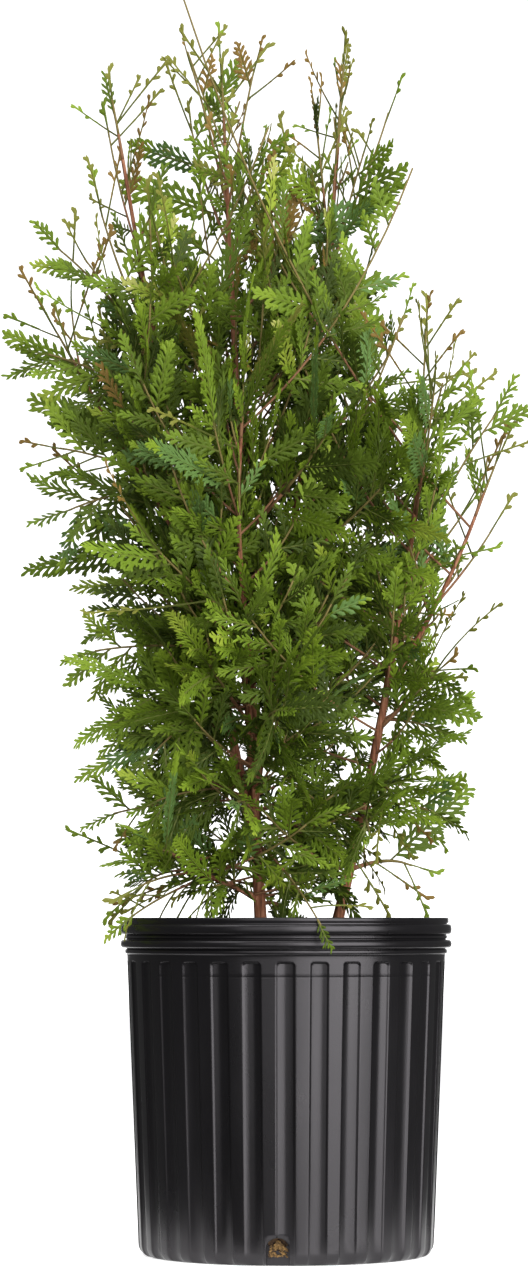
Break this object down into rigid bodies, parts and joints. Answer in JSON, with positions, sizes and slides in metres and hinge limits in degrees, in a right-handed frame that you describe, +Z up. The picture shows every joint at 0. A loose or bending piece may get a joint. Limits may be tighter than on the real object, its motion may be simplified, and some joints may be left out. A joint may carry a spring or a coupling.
{
  "type": "potted arborvitae",
  "caption": "Young upright evergreen with several leading stems and flat, fern-like sprays of green scale leaves, in a fluted black nursery pot filled with bark mix.",
  "frame": {"origin": "middle of the pot's flat underside, on the surface the pot stands on", "axes": "+Z up the plant, -Y the side the picture shows, +X to the right in the picture"},
  "size_m": [0.3809, 0.3061, 0.9109],
  "materials": {
    "pot_black": "satin black blow-moulded plastic, fluted below a ringed rim",
    "bark_mix": "coarse moist bark growing mix, dark brown with lighter chips",
    "bark": "thin, finely fissured red-brown bark",
    "leaf": "flat sprays of overlapping scale leaves, mid green outside and darker inside"
  },
  "bodies": {
    "root": {"bough_low_left": "bark", "foliage_bough_low_left_01": "leaf", "foliage_bough_low_left_02": "leaf", "foliage_bough_low_left_tip": "leaf", "foliage_shoot_left_01": "leaf", "foliage_shoot_left_tip": "leaf", "foliage_shoot_right_01": "leaf", "foliage_shoot_right_tip": "leaf", "foliage_stem_back_01": "leaf", "foliage_stem_back_02": "leaf", "foliage_stem_back_03": "leaf", "foliage_stem_back_04": "leaf", "foliage_stem_back_tip": "leaf", "foliage_stem_centre_01": "leaf", "foliage_stem_centre_02": "leaf", "foliage_stem_centre_03": "leaf", "foliage_stem_centre_04": "leaf", "foliage_stem_centre_05": "leaf", "foliage_stem_centre_tip": "leaf", "foliage_stem_front_01": "leaf", "foliage_stem_front_02": "leaf", "foliage_stem_front_03": "leaf", "foliage_stem_front_tip": "leaf", "foliage_stem_left_01": "leaf", "foliage_stem_left_02": "leaf", "foliage_stem_left_03": "leaf", "foliage_stem_left_04": "leaf", "foliage_stem_left_05": "leaf", "foliage_stem_left_06": "leaf", "foliage_stem_left_tip": "leaf", "foliage_stem_right_01": "leaf", "foliage_stem_right_02": "leaf", "foliage_stem_right_03": "leaf", "foliage_stem_right_04": "leaf", "foliage_stem_right_05": "leaf", "foliage_stem_right_06": "leaf", "foliage_stem_right_tip": "leaf", "foliage_trunk_01": "leaf", "foliage_trunk_02": "leaf", "foliage_trunk_03": "leaf", "foliage_trunk_04": "leaf", "foliage_trunk_05": "leaf", "foliage_trunk_06": "leaf", "foliage_trunk_07": "leaf", "foliage_trunk_08": "leaf", "foliage_trunk_09": "leaf", "foliage_trunk_10": "leaf", "foliage_trunk_11": "leaf", "foliage_trunk_12": "leaf", "foliage_trunk_tip": "leaf", "pot": "pot_black", "shoot_left": "bark", "shoot_right": "bark", "soil": "bark_mix", "stem_back": "bark", "stem_centre": "bark", "stem_front": "bark", "stem_left": "bark", "stem_right": "bark", "trunk": "bark"}
  },
  "joints": []
}
